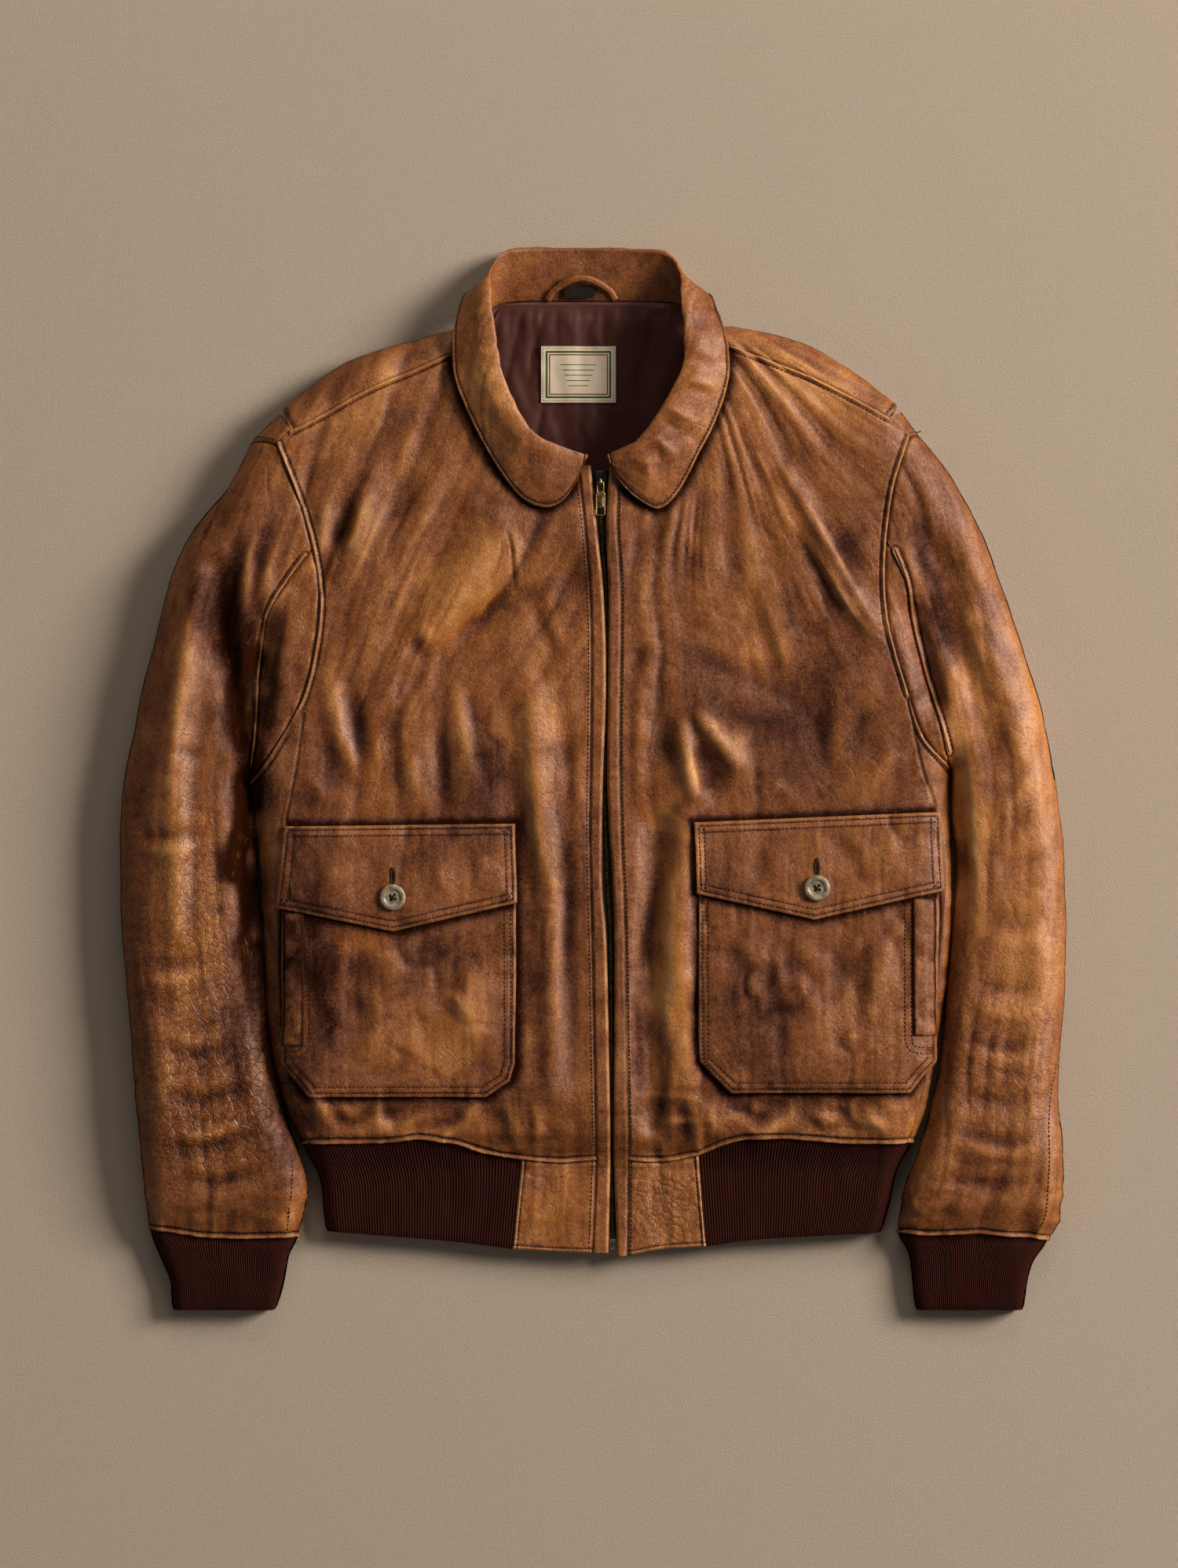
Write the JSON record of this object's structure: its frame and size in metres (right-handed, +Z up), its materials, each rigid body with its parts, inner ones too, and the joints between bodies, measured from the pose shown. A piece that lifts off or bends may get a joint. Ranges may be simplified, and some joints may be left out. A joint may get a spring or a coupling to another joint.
{
  "type": "leather jacket",
  "caption": "Waist-length worn brown leather flight-style jacket laid flat, with turned-down collar, front zip, flap pockets, and rib-knit cuffs and waistband.",
  "frame": {"origin": "middle of the jacket's plan box, on the surface that it lies on", "axes": "+Z up from that surface, out of the jacket's front; +Y from the hem towards the collar; +X to the viewer's right"},
  "size_m": [0.7222, 0.8128, 0.0523],
  "materials": {
    "leather": "worn, semi-gloss, abraded tan at the edges",
    "leather_trim": "worn, semi-gloss",
    "knit": "ribbed wool knit",
    "satin": "satin",
    "label": "woven, plain",
    "tape": "woven tape",
    "brass": "aged",
    "horn": "horn-like, satin",
    "snap": "black, satin"
  },
  "bodies": {
    "jacket": {"back": "leather", "button_l": "horn", "button_r": "horn", "collar_leaf": "leather", "collar_stand": "leather_trim", "cuff_l": "knit", "cuff_r": "knit", "flap_l": "leather", "flap_r": "leather", "front_l": "leather", "front_r": "leather", "gusset_l": "leather", "gusset_r": "leather", "hang_loop": "leather_trim", "label": "label", "lining": "satin", "placket_l": "leather", "placket_r": "leather", "pleat_l": "leather", "pleat_r": "leather", "pocket_l": "leather", "pocket_r": "leather", "side_l": "leather", "side_r": "leather", "size_tag": "tape", "sleeve_l": "leather", "sleeve_r": "leather", "snap_l": "snap", "snap_r": "snap", "tab_strip_l": "leather_trim", "tab_strip_r": "leather_trim", "waist_knit": "knit", "waist_tab_l": "leather_trim", "waist_tab_r": "leather_trim", "welt_l": "leather_trim", "welt_r": "leather_trim", "zip_box": "brass", "zip_chain": "brass", "zip_slider": "brass", "zip_tape_l": "tape", "zip_tape_r": "tape"},
    "pull": {"zip_pull": "brass"}
  },
  "joints": [
    {"name": "pull_hinge", "type": "hinge", "parent": "jacket", "child": "pull", "pos_m": [0.00602, 0.22606, 0.0393], "axis": [-1, 0, 0], "range_deg": [0, 120]}
  ]
}
